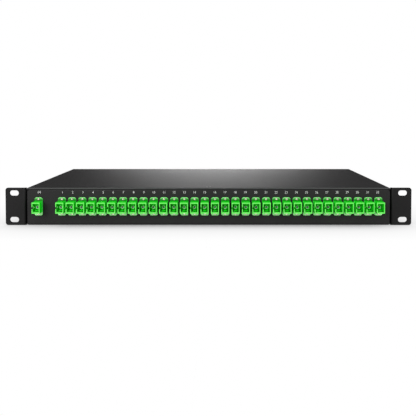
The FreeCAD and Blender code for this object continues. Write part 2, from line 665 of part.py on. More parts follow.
def make_plug_form():
    """The plug on an adapter's rear: shell, ferrule that reaches into the sleeve, and boot."""
    body = new_body("plug_form", is_node=False)
    shell = new_sketch(body, "shell_outline", "XZ_Plane", f"-{PLUG_FACE}")
    half_x = "(sizes.socket_width / 2 - sizes.plug_gap)"
    half_z = "(sizes.socket_height / 2 - sizes.plug_gap)"
    add_rectangle(shell, f"-{half_x}", f"-{half_z}", half_x, half_z)
    add_pad(body, "plug_shell", shell, "sizes.plug_length", is_reversed=True)
    ferrule = new_sketch(body, "ferrule_outline", "XZ_Plane", f"-{PLUG_FACE}")
    add_ring_of_flats(ferrule, PORT_FLAT_COUNT, "sizes.sleeve_bore - sizes.sleeve_gap")
    add_pad(body, "ferrule", ferrule, f"{PLUG_FACE} - {MIDDLE}")
    boot = new_sketch(body, "boot_outline", "XZ_Plane", f"-{PLUG_END}")
    add_ring_of_flats(boot, FIBRE_FLAT_COUNT, "sizes.boot_radius")
    add_pad(body, "boot", boot, "sizes.boot_length", is_reversed=True)
    return body


def port_places():
    """The x of every socket, the input first."""
    first = size(OUTPUT_X)
    pitch = size(PORT_PITCH)
    outputs = [first + index * pitch for index in range(int(size("sizes.output_count")))]
    return [size(INPUT_X)] + outputs


def make_port_pieces():
    """The latch holders, sleeves and plugs, one of each at every socket."""
    forms = (("adapter_latch_holders", make_holder_form()),
             ("alignment_sleeves", make_sleeve_form()),
             ("pigtail_plugs", make_plug_form()))
    doc.recompute()
    for name, form in forms:
        make_group(name, [moved(form.Shape, x, size(PANEL), size(AXIS_HEIGHT)) for x in port_places()])


def make_module():
    """The splitter module: case, lid, pad, carrier, chip, fibre arrays and output ribbon."""
    half_x = "sizes.module_length / 2"
    half_y = "sizes.module_width / 2"
    wall = "sizes.module_wall"
    bottom = "(sizes.tray_sheet + sizes.module_pad)"

    def add_box(name, low, high):
        body = new_body(name)
        sketch = new_sketch(body, f"{name}_outline", "XY_Plane", low[2])
        add_rectangle(sketch, low[0], low[1], high[0], high[1])
        add_pad(body, f"{name}_block", sketch, f"({high[2]}) - ({low[2]})")
        return body

    add_box("module_pad", (f"-{half_x} + sizes.pad_inset", f"-{half_y} + sizes.pad_inset", "0"),
            (f"{half_x} - sizes.pad_inset", f"{half_y} - sizes.pad_inset", "sizes.module_pad"))
    place(nodes[-1], y=MODULE_Y, z="sizes.tray_sheet")

    case = add_box("module_case", (f"-{half_x}", f"-{half_y}", "0"),
                   (half_x, half_y, f"sizes.module_height - {wall}"))
    hollow = new_sketch(case, "case_hollow_outline", "XY_Plane", wall)
    add_rectangle(hollow, f"-{half_x} + {wall}", f"-{half_y} + {wall}", f"{half_x} - {wall}",
                  f"{half_y} - {wall}")
    add_pocket(case, "case_hollow", hollow, "sizes.module_height", is_reversed=True)
    entry = new_sketch(case, "entry_outline", "YZ_Plane")
    add_rectangle(entry, f"-{LOOM_HALF}", wall, LOOM_HALF, f"{wall} + 2 * {LOOM_HALF}")
    add_pocket(case, "entries", entry, f"sizes.module_length * {BEYOND}", side="Symmetric")
    place(case, y=MODULE_Y, z=bottom)

    lid = add_box("module_lid", (f"-{half_x}", f"-{half_y}", "0"), (half_x, half_y, wall))
    lip = new_sketch(lid, "lid_lip_outline", "XY_Plane")
    inset = f"({wall} + sizes.entry_gap)"
    add_rectangle(lip, f"-{half_x} + {inset}", f"-{half_y} + {inset}", f"{half_x} - {inset}",
                  f"{half_y} - {inset}")
    add_pad(lid, "lid_lip", lip, f"{wall} / 2", is_reversed=True)
    place(lid, y=MODULE_Y, z=f"{bottom} + sizes.module_height - {wall}")

    carrier_half = "(sizes.chip_length / 2 + sizes.array_length)"
    chip_low = f"({LOOM_HALF} - sizes.chip_height / 2)"
    inner = "(sizes.chip_width / 2 + sizes.entry_gap)"
    outer = f"({inner} + sizes.carrier_wall)"
    carrier = new_body("chip_carrier")
    channel = new_sketch(carrier, "channel_outline", "YZ_Plane")
    add_polygon(channel, [
        (f"-{outer}", "0"), (outer, "0"), (outer, "sizes.carrier_rise"), (inner, "sizes.carrier_rise"),
        (inner, chip_low), (f"-{inner}", chip_low), (f"-{inner}", "sizes.carrier_rise"),
        (f"-{outer}", "sizes.carrier_rise"),
    ])
    add_pad(carrier, "channel", channel, f"2 * {carrier_half}", side="Symmetric")
    place(carrier, y=MODULE_Y, z=MODULE_FLOOR)

    side = "sizes.chip_width / 2"
    ends = (
        ("input_fibre_array", f"-{carrier_half}", "-sizes.chip_length / 2"),
        ("plc_chip", "-sizes.chip_length / 2", "sizes.chip_length / 2"),
        ("output_fibre_array", "sizes.chip_length / 2", carrier_half),
    )
    for name, start, end in ends:
        add_box(name, (start, f"-{side}", "0"), (end, side, "sizes.chip_height"))
        place(nodes[-1], y=MODULE_Y, z=f"{MODULE_FLOOR} + {chip_low}")
    add_box("output_ribbon", (carrier_half, "-sizes.ribbon_width / 2", "-sizes.ribbon_height / 2"),
            (f"{half_x} - {wall}", "sizes.ribbon_width / 2", "sizes.ribbon_height / 2"))
    place(nodes[-1], y=MODULE_Y, z=FIBRE_LEVEL)


def flat_sided(count, radius, centre, along):
    """A closed regular outline round a centre, square to a direction."""
    turn = FreeCAD.Rotation(FreeCAD.Vector(0, 0, 1), FreeCAD.Vector(*along))
    corner = radius / math.cos(math.pi / count)
    points = []
    for index in range(count + 1):
        angle = (index + 0.5) * 2 * math.pi / count
        offset = FreeCAD.Vector(corner * math.cos(angle), corner * math.sin(angle), 0)
        points.append(FreeCAD.Vector(*centre) + turn.multVec(offset))
    return Part.makePolygon(points)


def straight_fibre(start, end):
    """A straight length of fibre from one point to another, with its ends square to the depth."""
    outline = flat_sided(FIBRE_FLAT_COUNT, size("sizes.fibre_radius"), tuple(start), (0, 1, 0))
    return Part.Face(outline).extrude(end - start)


def make_loom():
    """The output loom: a branch from each boot, the bundle and its turn."""
    level = size(FIBRE_LEVEL)
    radius = size("sizes.loom_radius")
    loom_y = size(LOOM_Y)
    module_y = size(MODULE_Y)
    turn_x = size(TURN_X)
    middle_y = size(TURN_Y)
    end_x = size("sizes.module_length / 2 - sizes.module_wall")
    places = port_places()
    start_x = places[1] - radius
    up = FreeCAD.Vector(0, 0, level)
    start = FreeCAD.Vector(start_x, loom_y, 0) + up
    turn_in = FreeCAD.Vector(turn_x, loom_y, 0) + up
    turn_top = FreeCAD.Vector(turn_x + size("sizes.loom_bend"), middle_y, 0) + up
    turn_out = FreeCAD.Vector(turn_x, module_y, 0) + up
    end = FreeCAD.Vector(end_x, module_y, 0) + up
    path = Part.Wire([
        Part.LineSegment(start, turn_in).toShape(),
        Part.Arc(turn_in, turn_top, turn_out).toShape(),
        Part.LineSegment(turn_out, end).toShape(),
    ])
    outline = flat_sided(LOOM_FLAT_COUNT, radius, tuple(start), (1, 0, 0))
    bundle = path.makePipeShell([outline], True, False)
    branches = []
    boot_y = size(f"{PANEL} + {BOOT_END}")
    for x in places[1:]:
        boot = FreeCAD.Vector(x, boot_y, size(AXIS_HEIGHT))
        side_x = min(x, turn_x)
        branches.append(straight_fibre(boot, FreeCAD.Vector(side_x, loom_y, level)))
    make_group("output_loom", [bundle.multiFuse(branches).removeSplitter()])


def make_input_pigtail():
    """The input fibre: down from its boot, back along the side and into the module."""
    level = size(FIBRE_LEVEL)
    radius = size("sizes.fibre_radius")
    bend = size("sizes.loom_bend")
    x = size(INPUT_X)
    loom_y = size(LOOM_Y)
    module_y = size(MODULE_Y)
    array_x = -size("sizes.chip_length / 2 + sizes.array_length")
    boot = FreeCAD.Vector(x, size(f"{PANEL} + {BOOT_END}"), size(AXIS_HEIGHT))
    low = FreeCAD.Vector(x, loom_y, level)
    turn_in = FreeCAD.Vector(x, module_y - bend, level)
    turn_out = FreeCAD.Vector(x + bend, module_y, level)
    centre = FreeCAD.Vector(x + bend, module_y - bend, level)
    slant = FreeCAD.Vector(-bend, bend, 0)
    slant.normalize()
    path = Part.Wire([
        Part.LineSegment(low, turn_in).toShape(),
        Part.Arc(turn_in, centre + slant * bend, turn_out).toShape(),
        Part.LineSegment(turn_out, FreeCAD.Vector(array_x, module_y, level)).toShape(),
    ])
    outline = flat_sided(FIBRE_FLAT_COUNT, radius, tuple(low), (0, 1, 0))
    level_run = path.makePipeShell([outline], True, False)
    drop = straight_fibre(boot, low)
    make_group("input_pigtail", [level_run.fuse(drop).removeSplitter()])


def make_ties():
    """The cable ties round the loom, and the mount under each of them."""
    level = size(FIBRE_LEVEL)
    inner = size("sizes.loom_radius + sizes.tie_gap")
    outer = inner + size("sizes.tie_thickness")
    width = size("sizes.tie_width")
    block = size("sizes.tie_block")
    floor = size("sizes.tray_sheet")
    loom_y = size(LOOM_Y)
    pitch = size(PORT_PITCH)
    step = int(size("sizes.tie_step"))
    first = port_places()[step // 2] + pitch / 2
    ties = []
    mounts = []
    for index in range(int(size("sizes.tie_count"))):
        x = first + index * step * pitch
        centre = (x - width / 2, loom_y, level)
        along = FreeCAD.Vector(width, 0, 0)
        outlines = [flat_sided(LOOM_FLAT_COUNT, outer, centre, (1, 0, 0)),
                    flat_sided(LOOM_FLAT_COUNT, inner, centre, (1, 0, 0))]
        ring = Part.makeFace(outlines, "Part::FaceMakerBullseye")
        ties.append(ring.extrude(along))
        mounts.append(Part.makeBox(block, block, level - outer - floor,
                                   FreeCAD.Vector(x - block / 2, loom_y - block / 2, floor)))
    make_group("cable_ties", ties)
    make_group("tie_mounts", mounts)


def check_and_write():
    """Stop if anything failed, then write each node's solids to a file of its own."""
    for thing in doc.Objects:
        if "Invalid" in thing.State or "Error" in thing.State:
            raise RuntimeError(f"{thing.Label} is {thing.State}")
    for node in nodes:
        if node.Shape.isNull() or not node.Shape.isValid() or not node.Shape.Solids:
            raise RuntimeError(f"{node.Label} has no valid solid")
    os.makedirs("parts", exist_ok=True)
    for node in nodes:
        node.Shape.exportStep(f"parts/{node.Label}.step")


fill_sheet()
make_tray()
make_cover()
make_ear("left_rack_ear", -1)
make_ear("right_rack_ear", 1)
make_cover_screw()
make_adapters()
make_port_pieces()
make_module()
make_loom()
make_input_pigtail()
make_ties()
doc.recompute()
check_and_write()
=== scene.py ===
# Looks of the rack-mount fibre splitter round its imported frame: finishes, sockets, screws,
# printed numbers, studio and camera. Lengths are in metres.
import math
import bmesh
import bpy
from mathutils import Matrix, Vector


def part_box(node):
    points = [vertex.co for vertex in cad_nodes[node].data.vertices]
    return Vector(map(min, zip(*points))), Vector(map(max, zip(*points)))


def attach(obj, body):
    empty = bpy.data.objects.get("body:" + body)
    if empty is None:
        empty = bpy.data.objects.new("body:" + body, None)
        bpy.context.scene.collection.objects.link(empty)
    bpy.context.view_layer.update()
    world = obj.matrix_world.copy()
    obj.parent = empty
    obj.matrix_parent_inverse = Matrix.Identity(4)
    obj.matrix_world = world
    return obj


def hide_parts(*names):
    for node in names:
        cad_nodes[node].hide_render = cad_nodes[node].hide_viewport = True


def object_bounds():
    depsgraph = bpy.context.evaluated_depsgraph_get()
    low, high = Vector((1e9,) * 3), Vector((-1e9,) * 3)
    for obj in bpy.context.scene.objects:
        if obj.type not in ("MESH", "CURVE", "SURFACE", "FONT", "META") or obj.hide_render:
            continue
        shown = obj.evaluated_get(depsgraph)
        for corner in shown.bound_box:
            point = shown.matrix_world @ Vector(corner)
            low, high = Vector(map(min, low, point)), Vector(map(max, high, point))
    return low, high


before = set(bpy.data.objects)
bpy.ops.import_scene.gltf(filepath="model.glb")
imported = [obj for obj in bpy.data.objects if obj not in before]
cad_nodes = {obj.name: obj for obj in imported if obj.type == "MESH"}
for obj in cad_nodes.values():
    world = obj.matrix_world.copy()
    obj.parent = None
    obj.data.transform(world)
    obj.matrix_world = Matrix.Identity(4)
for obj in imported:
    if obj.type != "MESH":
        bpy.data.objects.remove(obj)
cad_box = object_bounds()

# Places read from the frame.
tray_low, tray_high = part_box("chassis_tray")
cover_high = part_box("top_cover")[1]
input_low, input_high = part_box("adapter_in")
screw_low, screw_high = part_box("cover_screw")
PANEL = tray_low.y
AXIS_HEIGHT = (input_low.z + input_high.z) / 2
MOUTH = input_low.y - PANEL
TAIL = input_high.y - PANEL
MIDDLE = (MOUTH + TAIL) / 2
OUTPUT_COUNT = 32
PORTS = ["adapter_in"] + [f"adapter_{number:02d}" for number in range(1, OUTPUT_COUNT + 1)]
PORT_LABELS = ["IN"] + [str(number) for number in range(1, OUTPUT_COUNT + 1)]

# Adapter sizes, in the adapter's own frame, whose origin is on the panel face at the socket's axis.
# An excess is how far a cutting solid reaches past what it cuts: CUT_EXCESS is a length, and the
# others are shares.
HOUSING_WIDTH = 0.0093
HOUSING_HEIGHT = 0.0130
HOUSING_EDGE = 0.00015
FLANGE_WIDTH = input_high.x - input_low.x
FLANGE_HEIGHT = input_high.z - input_low.z
FLANGE_THICKNESS = 0.0016
FLANGE_CORNER = 0.0026
FLANGE_ROUNDING = 0.0007
SOCKET_WIDTH = 0.0074
SOCKET_HEIGHT = 0.0090
LEAD_IN = 0.0006
LEAD_IN_DEPTH = 0.0015
LEAD_IN_WIDTH = 0.0072
LEAD_IN_EXCESS = 0.1
KEYWAY_HEIGHT = 0.0022
KEYWAY_LENGTH = 0.0085
CUT_EXCESS = 0.001
HOLDER_PLATE = 0.0020
HOLDER_GAP = 0.00005
HOLDER_EDGE = 0.0001
LATCH_REACH = 0.0090
LATCH_OUTER_WIDTH = 0.0056
LATCH_INNER_WIDTH = 0.0029
LATCH_TIP = 0.0027
LATCH_ROOT = 0.0034
LATCH_NOSE = 0.0007
LATCH_HOOK = 0.0018
LATCH_STEP = 0.0002
LATCH_OVERLAP = 0.0002
LATCH_EXCESS = 0.1
TUBE_RADIUS = 0.00225
TUBE_LENGTH = 0.0124
TUBE_CHAMFER = 0.0002
SLEEVE_RADIUS = 0.0016
SLEEVE_GAP = 0.00005
SLEEVE_BORE = 0.00125
SLEEVE_LENGTH = 0.0114
SLEEVE_SLIT = 0.0004
SLEEVE_EDGE = 0.00005
TURNED_SIDES = 32

# Screws. Shares are of the radius or the height of a head, and turns are in degrees.
FLANGE_SCREW_RADIUS = 0.00125
FLANGE_SCREW_HEAD = 0.0009
FLANGE_SCREW_RISE = 0.0087
FLANGE_SCREW_TURN = 17
FLANGE_SCREW_TURN_PER_PORT = 29
FLANGE_SCREW_TURN_PER_END = 41
CASE_SCREW_RADIUS = 0.0027
CASE_SCREW_HEAD = 0.0014
CASE_SCREW_TURN = 31
EAR_SHEET = 0.0020
EAR_SCREW_SET = 0.0240
EAR_SCREW_RISE = 0.0110
COVER_SCREW_SETS = (0.075, 0.155, 0.235)
COVER_SCREW_DROP = 0.0080
FRONT_SCREW_SHANK = 0.0015
FRONT_SCREW_RIM = 0.00015
FRONT_SCREW_RECESS = 0.0011
FRONT_SCREW_EDGE = 0.00006
FRONT_SCREW_SIDES = 40
HEAD_STEPS = 6
HEAD_RIM_SHARE = 0.35
HEAD_EDGE_SHARE = 0.03
RECESS_ARM_SHARE = 0.62
RECESS_SLOT_SHARE = 0.2
RECESS_DEPTH_SHARE = 0.62

# Print. The letters are drawn at size one and one unit deep, and then scaled.
LABEL_RISE = 0.0168
LABEL_HEIGHT = 0.0027
LABEL_NARROWING = 0.93
LABEL_THINNING = -0.012
LABEL_ROW_SHRINK = 0.003
LETTER_STEPS = 5
LETTER_HALF_DEPTH = 0.5
PRINT_THICKNESS = 0.00003

# Edges, with angles in degrees. All but SMOOTH_ANGLE are for the folded sheets.
WELD_DISTANCE = 1e-6
FLAT_ANGLE = 1
SHEET_EDGE = 0.00025
SHEET_EDGE_ANGLE = 40
SMOOTH_ANGLE = 50

# How strongly the finer layers of every noise pattern show.
NOISE_ROUGHNESS = 0.55

# Powder coat. Scales of patterns are per metre. Bands are distances behind the panel face.
COAT_TONES = ((0.0182, 0.0174, 0.0177), (0.0219, 0.0210, 0.0214))
COAT_ROUGHNESS = (0.42, 0.50)
COAT_SPECULAR = 0.08
COAT_DRIFT = 35.0
COAT_GLOSS_DRIFT = 420.0
PEEL_SCALE = 1900.0
PEEL_DEPTH = 0.00004
PEEL_STRENGTH = 0.6
# Painted shade: the ears get a darker copy of the case's coat.
EAR_PAINTED_SHADE = 0.6
# Painted highlight: a lighter grey on the cover's front edge, where the edge catches the light.
EDGE_HIGHLIGHT_GREY = (0.060, 0.060, 0.061)
EDGE_HIGHLIGHT_BAND = (0.0007, 0.0001)
# Painted shade: near black in the front bends where the ears meet the case.
CREASE_SHADE_BLACK = (0.001, 0.001, 0.001)
CREASE_SET = 0.0004
CREASE_PLACE = tray_high.x + CREASE_SET
CREASE_WIDTH = 0.0019
CREASE_BAND = (0.0030, 0.0020)

# Green plastic: its tones, with painted sheen, highlights, reflection and shade, and the bands over which
# one gives way to the next.
PLAIN_GREEN = (0.003, 0.58, 0.005)
LIGHTENING = 1.12
CORE_GREEN = (0.050, 0.84, 0.050)
# Painted sheen: the barrel sides are lighter near the flange.
SIDE_SHEEN_GREEN = (0.060, 0.92, 0.090)
# Painted shade on the floors of the sockets.
FLOOR_SHADE_GREEN = (0.001, 0.25, 0.002)
# Painted sheen on the front faces of the barrels, and painted highlights on the flange's rounded edges,
# palest below the axis.
RIM_SHEEN_GREEN = (0.145, 0.78, 0.115)
UPPER_RIM_HIGHLIGHT_GREEN = (0.36, 0.84, 0.33)
LOWER_RIM_HIGHLIGHT_GREEN = (0.46, 0.98, 0.43)
# Painted sheen on the flange's front, palest below the axis as a painted reflection of the floor.
UPPER_FLANGE_SHEEN_GREEN = (0.13, 0.50, 0.12)
LOWER_FLANGE_SHEEN_GREEN = (0.48, 0.98, 0.44)
# Painted shade on the flange's lower edge.
LOWER_EDGE_SHADE_GREEN = (0.10, 0.30, 0.095)
# Painted shade where the flange meets the top of the barrel.
CORNER_SHADE_GREEN = (0.001, 0.19, 0.001)
HOUSING_SPECULAR = 0.15
HOLDER_SPECULAR = 0.1
PLASTIC_DRIFT = 260.0
PLASTIC_GLOSS_DRIFT = 1500.0
PLASTIC_ROUGHNESS = (0.32, 0.42)
PLASTIC_GRAIN = 5200.0
PLASTIC_GRAIN_DEPTH = 0.00002
PLASTIC_GRAIN_STRENGTH = 0.5
# Heights above the sockets' axis.
UPPER_HALF = (0.0, 0.0010)
LOWER_HALF = (0.0, -0.0010)
FLANGE_FACE_HEIGHTS = (0.0075, -0.0065)
FLANGE_RIM_HEIGHTS = (0.0060, -0.0060)
LOWER_EDGE_HEIGHTS = (-0.0100, -0.0106)
CORNER_HEIGHTS = (0.0081, 0.0105)
FLOOR_HEIGHTS = ((-0.0054, -0.0052), (-0.0036, -0.0038))
CORE_HEIGHTS = ((-0.0029, -0.0025), (0.0029, 0.0025))
# Distances behind the panel face, so those in front of it are below 0.
BARREL_SIDE_BAND = (-0.0075, -0.0030)
FLANGE_BAND = (-0.0030, -0.0022)
# How far a face's normal points along an axis.
SIDEWAYS = (0.5, 0.8)
UPWARD = (0.5, 0.8)
FORWARD = (-0.40, -0.75)
STRAIGHT_FORWARD = (-0.90, -0.99)

# Plain finishes: shares of the grain's scale, and the swing of the roughness to either side.
DRIFT_SHARE = 0.12
GLOSS_SHARE = 0.4
GLOSS_SWING = 0.05

# Each row: name, dark and light tone, roughness, scale and depth of the grain, and metallic if not 0.
CERAMIC = ("ceramic_finish", (0.58, 0.58, 0.57), (0.68, 0.67, 0.66), 0.18, 2500.0, 0.000004)
PLATED = ("plated_finish", (0.56, 0.44, 0.44), (0.66, 0.53, 0.53), 0.36, 3200.0, 0.00001, 1.0)
BLACKENED = ("black_screw_finish", (0.02, 0.02, 0.022), (0.035, 0.035, 0.037), 0.38, 3000.0, 0.00001, 0.6)
INK = ("white_print_finish", (0.72, 0.72, 0.71), (0.84, 0.84, 0.83), 0.55, 6000.0, 0.000004)
# Painted reflection of the floor on the screws below the sockets' axis.
LOWER_SCREW_REFLECTION_TONE = (0.96, 0.78, 0.76)
MODULE_TONES = ((0.035, 0.035, 0.038), (0.05, 0.05, 0.054))
ARRAY_TONES = ((0.60, 0.64, 0.66), (0.72, 0.75, 0.77))
# The rows of the pieces inside, by node.
INNER_FINISHES = {
    "pigtail_plugs": ("plug_finish", (0.02, 0.33, 0.05), (0.03, 0.40, 0.06), 0.4, 2200.0, 0.00001),
    "output_loom": ("loom_finish", (0.72, 0.72, 0.70), (0.80, 0.80, 0.77), 0.5, 1800.0, 0.00002),
    "input_pigtail": ("pigtail_finish", (0.70, 0.62, 0.10), (0.80, 0.70, 0.14), 0.5, 1800.0, 0.00002),
    "output_ribbon": ("ribbon_finish", (0.30, 0.45, 0.70), (0.36, 0.52, 0.76), 0.4, 1800.0, 0.00002),
    "cable_ties": ("tie_finish", (0.70, 0.70, 0.66), (0.78, 0.78, 0.74), 0.45, 2000.0, 0.00002),
    "tie_mounts": ("mount_finish", (0.62, 0.62, 0.58), (0.70, 0.70, 0.66), 0.5, 2000.0, 0.00002),
    "module_case": ("module_finish", *MODULE_TONES, 0.5, 1500.0, 0.00004),
    "module_lid": ("lid_finish", *MODULE_TONES, 0.45, 1500.0, 0.00004),
    "module_pad": ("pad_finish", (0.02, 0.02, 0.02), (0.05, 0.05, 0.05), 0.9, 900.0, 0.0002),
    "chip_carrier": ("carrier_finish", (0.55, 0.56, 0.58), (0.66, 0.67, 0.69), 0.3, 2600.0, 0.00001, 1.0),
    "plc_chip": ("chip_finish", (0.30, 0.34, 0.40), (0.42, 0.46, 0.52), 0.1, 1500.0, 0.000002),
    "input_fibre_array": ("input_array_finish", *ARRAY_TONES, 0.12, 1500.0, 0.000002),
    "output_fibre_array": ("output_array_finish", *ARRAY_TONES, 0.12, 1500.0, 0.000002),
}

# Studio: floor, light card behind the object, and lamps in front of it. Powers are in watts.
WORLD_LIGHT = 0.65
FLOOR_REACH = 8.0
FLOOR_GAP = 0.0002
FLOOR_BOUNCE = 0.7
SHADOW_REACH = 0.09
SHADOW_DEPTH = 0.58
SHADOW_SAMPLES = 16
CARD_PLACE = 0.47
CARD_REACH = 1.6
CARD_DARK = 0.12
CARD_BRIGHT = 29.0
PATCH_X = 0.0
PATCH_Z = 0.01
PATCH_WIDTH = 0.36
PATCH_HEIGHT = 0.145
LAMP_TARGET = (0, PANEL, 0.02)
KEY_PLACE = (-0.60, -1.35, 0.50)
KEY_SIZE = (0.9, 0.6)
KEY_POWER = 13.0
FILL_PLACE = (1.10, -0.80, 0.35)
FILL_SIZE = (0.6, 0.5)
FILL_POWER = 4.0

# The camera, from the photograph's vanishing point and the size of the rack ears. The pitch is in
# degrees, lens and sensor are in millimetres, and the shift is a share of the picture's width.
CAMERA_PLACE = (0.01264, -0.90285, 0.13748)
CAMERA_PITCH = 2.0
CAMERA_LENS = 57.39
CAMERA_SENSOR = 36.0
CAMERA_SHIFT = (-0.0267, -0.1814)
CAMERA_NEAR = 0.01


def new_piece(name, mesh, material, replaces=()):
    """A piece of the object from a finished mesh."""
    piece = bpy.data.objects.new(name, mesh)
    bpy.context.scene.collection.objects.link(piece)
    mesh.materials.append(material)
    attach(piece, "root")
    for node in replaces:
        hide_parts(node)


def repeated(name, mesh, places, material, replaces=()):
    """One piece that holds the same mesh at many places."""
    new_piece(name, joined(name, [(mesh, place) for place in places]), material, replaces)


def mesh_of(bm, name):
    """A mesh from a bmesh, with its faces turned outward."""
    bmesh.ops.recalc_face_normals(bm, faces=bm.faces)
    mesh = bpy.data.meshes.new(name)
    bm.to_mesh(mesh)
    bm.free()
    return mesh


def prism(outline, start, end, axis="Y"):
    """A closed solid: an outline drawn across the X or Y axis and carried along it."""
    def at(a, b, distance):
        return (a, distance, b) if axis == "Y" else (distance, a, b)

    bm = bmesh.new()
    low = [bm.verts.new(at(a, b, start)) for a, b in outline]
    high = [bm.verts.new(at(a, b, end)) for a, b in outline]
    bm.faces.new(low)
    bm.faces.new(list(reversed(high)))
    for index in range(len(outline)):
        after = (index + 1) % len(outline)
        bm.faces.new((low[index], high[index], high[after], low[after]))
    return mesh_of(bm, "prism")


def rectangle(width, height, centre=(0.0, 0.0)):
    """The corners of a rectangle."""
    a, b = centre
    return [(a - width / 2, b - height / 2), (a + width / 2, b - height / 2),
            (a + width / 2, b + height / 2), (a - width / 2, b + height / 2)]


def rounded(width, height, radius, steps=8):
    """The outline of a rectangle with round corners."""
    points = []
    for corner, (sign_a, sign_b) in enumerate(((1, -1), (1, 1), (-1, 1), (-1, -1))):
        for step in range(steps + 1):
            angle = math.radians(-90 + 90 * (corner + step / steps))
            points.append((sign_a * (width / 2 - radius) + radius * math.cos(angle),
                           sign_b * (height / 2 - radius) + radius * math.sin(angle)))
    return points


def lathe(profile, count):
    """A closed solid turned about the Y axis from (radius, y) points that start and end on it."""
    bm = bmesh.new()
    angles = [2 * math.pi * step / count for step in range(count)]
    rings = []
    for radius, y in profile:
        if radius == 0:
            rings.append([bm.verts.new((0, y, 0))])
        else:
            rings.append([bm.verts.new((radius * math.cos(a), y, radius * math.sin(a))) for a in angles])
    for ring, following in zip(rings, rings[1:]):
        for step in range(count):
            after = (step + 1) % count
            corners = [ring[step % len(ring)], ring[after % len(ring)],
                       following[after % len(following)], following[step % len(following)]]
            bm.faces.new(list(dict.fromkeys(corners)))
    return mesh_of(bm, "turned")


def with_modifier(mesh, kind, settings):
    """The mesh that results from one modifier."""
    piece = bpy.data.objects.new("work", mesh)
    bpy.context.scene.collection.objects.link(piece)
    modifier = piece.modifiers.new(kind, kind)
    for name, value in settings.items():
        setattr(modifier, name, value)
    depsgraph = bpy.context.evaluated_depsgraph_get()
    depsgraph.update()
    result = bpy.data.meshes.new_from_object(piece.evaluated_get(depsgraph))
    bpy.data.objects.remove(piece)
    return result


def combined(mesh, steps):
    """The mesh after a list of boolean steps, each an operation and the other solid."""
    for operation, other in steps:
        tool = bpy.data.objects.new("tool", other)
        bpy.context.scene.collection.objects.link(tool)
        mesh = with_modifier(mesh, "BOOLEAN", {"operation": operation, "object": tool, "solver": "EXACT"})
        bpy.data.objects.remove(tool)
    return mesh


def eased(mesh, width, segments=2, angle=30):
    """The mesh with its sharp edges rounded a little, and smooth shading across them."""
    mesh = with_modifier(mesh, "BEVEL", {
        "width": width, "segments": segments, "limit_method": "ANGLE",
        "angle_limit": math.radians(angle), "harden_normals": True, "use_clamp_overlap": True})
    mesh.shade_smooth()
    mesh.set_sharp_from_angle(angle=math.radians(SMOOTH_ANGLE))
    return mesh


def joined(name, placed):
    """One mesh from (mesh, place) pairs."""
    bm = bmesh.new()
    for mesh, matrix in placed:
        copy = mesh.copy()
        copy.transform(matrix)
        bm.from_mesh(copy)
        bpy.data.meshes.remove(copy)
    result = bpy.data.meshes.new(name)
    bm.to_mesh(result)
    bm.free()
    return result


def new_material(name):
    """A node material, its shader and a coordinate output in metres."""
    material = bpy.data.materials.new(name)
    material.use_nodes = True
    tree = material.node_tree
    shader = tree.nodes["Principled BSDF"]
    place = tree.nodes.new("ShaderNodeTexCoord").outputs["Object"]
    return material, tree, shader, place


def noise(tree, place, scale, detail=3.0):
    """A smooth random pattern between 0 and 1."""
    texture = tree.nodes.new("ShaderNodeTexNoise")
    texture.inputs["Scale"].default_value = scale
    texture.inputs["Detail"].default_value = detail
    texture.inputs["Roughness"].default_value = NOISE_ROUGHNESS
    tree.links.new(place, texture.inputs["Vector"])
    return texture.outputs["Fac"]


def two_tones(tree, factor, tones, stops=(0.3, 0.7)):
    """A colour that goes from the first tone to the second between two stops of a factor."""
    node = tree.nodes.new("ShaderNodeValToRGB")
    for element, position, colour in zip(node.color_ramp.elements, stops, tones):
        element.position = position
        element.color = (*colour, 1.0)
    tree.links.new(factor, node.inputs["Fac"])
    return node.outputs["Color"]


def spread(tree, factor, low, high):
    """A factor stretched from 0..1 to low..high."""
    node = tree.nodes.new("ShaderNodeMapRange")
    node.inputs["To Min"].default_value = low
    node.inputs["To Max"].default_value = high
    tree.links.new(factor, node.inputs["Value"])
    return node.outputs["Result"]


def bump(tree, shader, height, distance, strength=1.0):
    """Fine relief on a shader, from a height pattern."""
    node = tree.nodes.new("ShaderNodeBump")
    node.inputs["Distance"].default_value = distance
    node.inputs["Strength"].default_value = strength
    tree.links.new(height, node.inputs["Height"])
    tree.links.new(node.outputs["Normal"], shader.inputs["Normal"])


def blend_colour(tree, factor, first, second):
    """The first colour where the factor is 0 and the second where it is 1."""
    mix = tree.nodes.new("ShaderNodeMix")
    mix.data_type = "RGBA"
    tree.links.new(factor, mix.inputs["Factor"])
    for name, colour in (("A", first), ("B", second)):
        if isinstance(colour, tuple):
            mix.inputs[name].default_value = (*colour, 1.0)
        else:
            tree.links.new(colour, mix.inputs[name])
    return mix.outputs["Result"]


def product(tree, factors):
    """All the factors multiplied together."""
    result = factors[0]
    for factor in factors[1:]:
        both = tree.nodes.new("ShaderNodeMath")
        both.operation = "MULTIPLY"
        tree.links.new(result, both.inputs[0])
        tree.links.new(factor, both.inputs[1])
        result = both.outputs[0]
    return result


def rise_of(tree, value, low, high):
    """A factor that rises from 0 to 1 as a value goes from low to high."""
    rise = tree.nodes.new("ShaderNodeMapRange")
    rise.inputs["From Min"].default_value = low
    rise.inputs["From Max"].default_value = high
    tree.links.new(value, rise.inputs["Value"])
    return rise.outputs["Result"]


def axis_of(tree, vector, axis):
    """One axis of a vector."""
    axes = tree.nodes.new("ShaderNodeSeparateXYZ")
    tree.links.new(vector, axes.inputs["Vector"])
    return axes.outputs[axis]


def along(tree, vector, axis, low, high):
    """A factor that rises from 0 to 1 as one axis of a vector goes from low to high."""
    return rise_of(tree, axis_of(tree, vector, axis), low, high)


def by_height(tree, place, heights):
    """A factor that rises from 0 to 1 between two heights above the sockets' axis."""
    return along(tree, place, "Z", *(AXIS_HEIGHT + height for height in heights))


def by_depth(tree, place, band):
    """A factor that rises from 0 to 1 between two distances behind the panel face."""
    return along(tree, place, "Y", *(PANEL + distance for distance in band))


